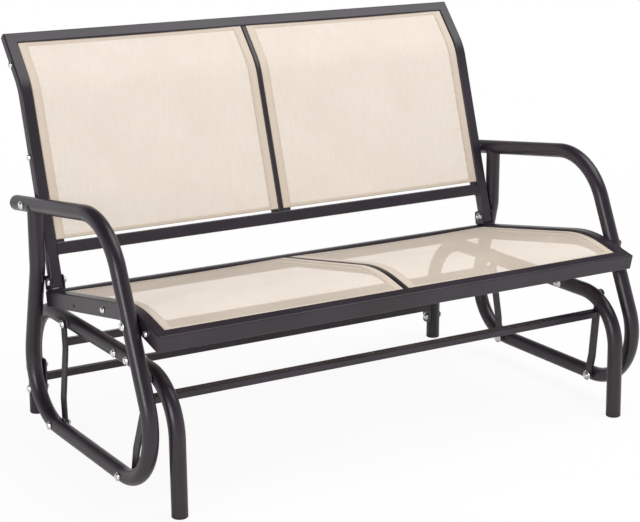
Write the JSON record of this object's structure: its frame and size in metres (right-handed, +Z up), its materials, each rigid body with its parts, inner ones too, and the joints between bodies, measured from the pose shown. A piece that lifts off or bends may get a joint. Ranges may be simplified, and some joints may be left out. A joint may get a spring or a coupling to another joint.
{
  "type": "glider bench",
  "caption": "Outdoor glider bench with a tubular steel base, a linked hanger suspension, bent-tube arm loops and fabric sling seat and back.",
  "frame": {"origin": "on the floor, under the middle of the bench's bounding box", "axes": "+Z up, +X to the right of someone who faces the bench, the bench's front looks along -Y"},
  "size_m": [1.2024, 0.7298, 0.8286],
  "materials": {
    "frame_paint": "dark charcoal powder coat, satin",
    "sling": "woven coated sling fabric, beige, matt",
    "zinc": "bright zinc plate",
    "plug": "matt black plastic",
    "bush": "natural nylon"
  },
  "bodies": {
    "base": {"base_front_tube_left": "frame_paint", "base_front_tube_right": "frame_paint", "base_joint_bolts": "zinc", "base_joint_nuts": "zinc", "base_joint_sleeves": "frame_paint", "base_rear_tube_left": "frame_paint", "base_rear_tube_right": "frame_paint", "foot_plugs": "plug", "rear_stretcher": "frame_paint", "stretcher_bolts": "zinc", "stretcher_nuts": "zinc", "top_pivot_bolts": "frame_paint", "top_pivot_nuts": "zinc"},
    "rear_hanger": {"rear_hanger_bar": "frame_paint", "rear_hanger_bushes": "bush", "rear_hanger_link_left": "frame_paint", "rear_hanger_link_right": "frame_paint"},
    "front_hanger": {"front_hanger_bar": "frame_paint", "front_hanger_bushes": "bush", "front_hanger_link_left": "frame_paint", "front_hanger_link_right": "frame_paint"},
    "seat": {"arm_loop_left": "frame_paint", "arm_loop_right": "frame_paint", "arm_upright_left": "frame_paint", "arm_upright_right": "frame_paint", "armrest_bolts": "zinc", "armrest_nuts": "zinc", "armrest_plugs": "plug", "armrest_spacers": "plug", "back_bottom_rail": "frame_paint", "back_bracket_left": "frame_paint", "back_bracket_right": "frame_paint", "back_centre_rail": "frame_paint", "back_foot_bolts": "zinc", "back_foot_nuts": "zinc", "back_side_rail_left": "frame_paint", "back_side_rail_right": "frame_paint", "back_sling_bars": "frame_paint", "back_sling_left": "sling", "back_sling_right": "sling", "back_top_rail": "frame_paint", "bottom_pivot_bolts": "zinc", "bottom_pivot_nuts": "zinc", "rail_plugs": "plug", "seat_bolts": "zinc", "seat_centre_rail": "frame_paint", "seat_front_rail": "frame_paint", "seat_nuts": "zinc", "seat_rear_rail": "frame_paint", "seat_side_rail_left": "frame_paint", "seat_side_rail_right": "frame_paint", "seat_sling_bars": "frame_paint", "seat_sling_left": "sling", "seat_sling_right": "sling", "sling_screw_nuts": "zinc", "sling_screws": "zinc"}
  },
  "joints": [
    {"name": "rear_hanger_swing", "type": "hinge", "parent": "base", "child": "rear_hanger", "pos_m": [0, 0.11998, 0.259], "axis": [1, 0, 0], "range_deg": [-10, 10]},
    {"name": "front_hanger_swing", "type": "hinge", "parent": "base", "child": "front_hanger", "pos_m": [0, -0.26742, 0.25427], "axis": [1, 0, 0], "range_deg": [-10.3, 10.3]},
    {"name": "seat_swing", "type": "hinge", "parent": "rear_hanger", "child": "seat", "pos_m": [0, 0.10378, 0.052], "axis": [1, 0, 0], "range_deg": [-11.9, 11.9]}
  ],
  "couplings": [
    {"joint": "front_hanger_swing", "follows": "rear_hanger_swing", "ratio": 1.024},
    {"joint": "seat_swing", "follows": "rear_hanger_swing", "ratio": -1.182}
  ]
}
